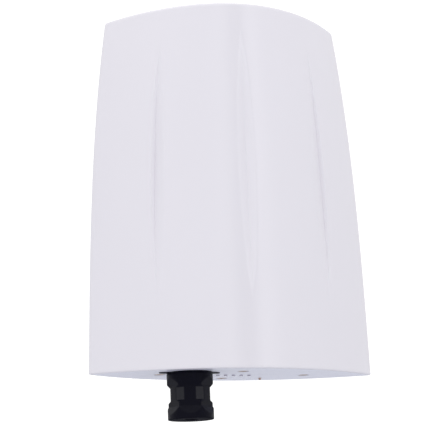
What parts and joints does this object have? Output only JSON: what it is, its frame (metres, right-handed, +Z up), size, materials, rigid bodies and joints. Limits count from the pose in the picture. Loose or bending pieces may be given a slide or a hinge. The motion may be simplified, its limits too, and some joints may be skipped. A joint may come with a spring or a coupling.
{
  "type": "yagi antenna",
  "caption": "Outdoor antenna unit: lens-shaped tapered white radome with three leaf grooves over a small yagi array, screwed base cover with indicator row and a black cable gland.",
  "frame": {"origin": "centre of the square mounting pad on the back of the radome", "axes": "+Z up along the radome, towards its narrow end; +Y out of the mounting pad, away from the front; +X to the right seen from the front"},
  "size_m": [0.1838, 0.0724, 0.2551],
  "materials": {
    "radome_white": "semi-gloss UV-stable moulded plastic",
    "cover_white": "semi-gloss moulded plastic",
    "gland_black": "satin black nylon",
    "seal_rubber": "matte black rubber",
    "screw_steel": "stainless steel, slightly dulled",
    "insert_brass": "machined brass",
    "vent_grey": "satin plastic",
    "carrier_plastic": "dark grey moulded plastic",
    "board_green": "green solder mask",
    "shield_tin": "tin-plated steel",
    "jack_plastic": "black moulded plastic",
    "led_lens": "clear LED resin",
    "light_pipe_clear": "clear acrylic, dark behind",
    "array_aluminium": "drawn aluminium",
    "coax_sheath": "black sheath"
  },
  "bodies": {
    "housing": {"base_cover": "cover_white", "board_screws": "screw_steel", "boom": "array_aluminium", "boom_screws": "screw_steel", "bracket_inserts": "insert_brass", "breather_vent": "vent_grey", "carrier": "carrier_plastic", "coax_jack": "insert_brass", "cover_gasket": "seal_rubber", "cover_inserts": "insert_brass", "cover_screws": "screw_steel", "director_1": "array_aluminium", "director_2": "array_aluminium", "director_3": "array_aluminium", "driven_element": "array_aluminium", "element_clamps": "carrier_plastic", "ethernet_jack": "jack_plastic", "feed_board": "board_green", "feed_coax": "coax_sheath", "foot_screws": "screw_steel", "gland_body": "gland_black", "gland_gasket": "seal_rubber", "gland_locknut": "gland_black", "indicator_leds": "led_lens", "light_pipe": "light_pipe_clear", "radio_board": "board_green", "radome": "radome_white", "reflector": "array_aluminium", "rf_shield": "shield_tin"},
    "gland_clamp": {"gland_seal": "seal_rubber", "gland_split_ring": "gland_black"},
    "gland_nut": {"gland_nut": "gland_black"}
  },
  "joints": [
    {"name": "nut_travel", "type": "slide", "parent": "housing", "child": "gland_clamp", "axis": [0, 0, -1], "range_m": [0, 0.009]},
    {"name": "nut_turn", "type": "hinge", "parent": "gland_clamp", "child": "gland_nut", "pos_m": [-0.0322, -0.047, -0.125], "axis": [0, 0, -1], "range_deg": [0, 2160]}
  ],
  "couplings": [
    {"joint": "nut_turn", "follows": "nut_travel", "rad_per_m": 4188.8}
  ]
}
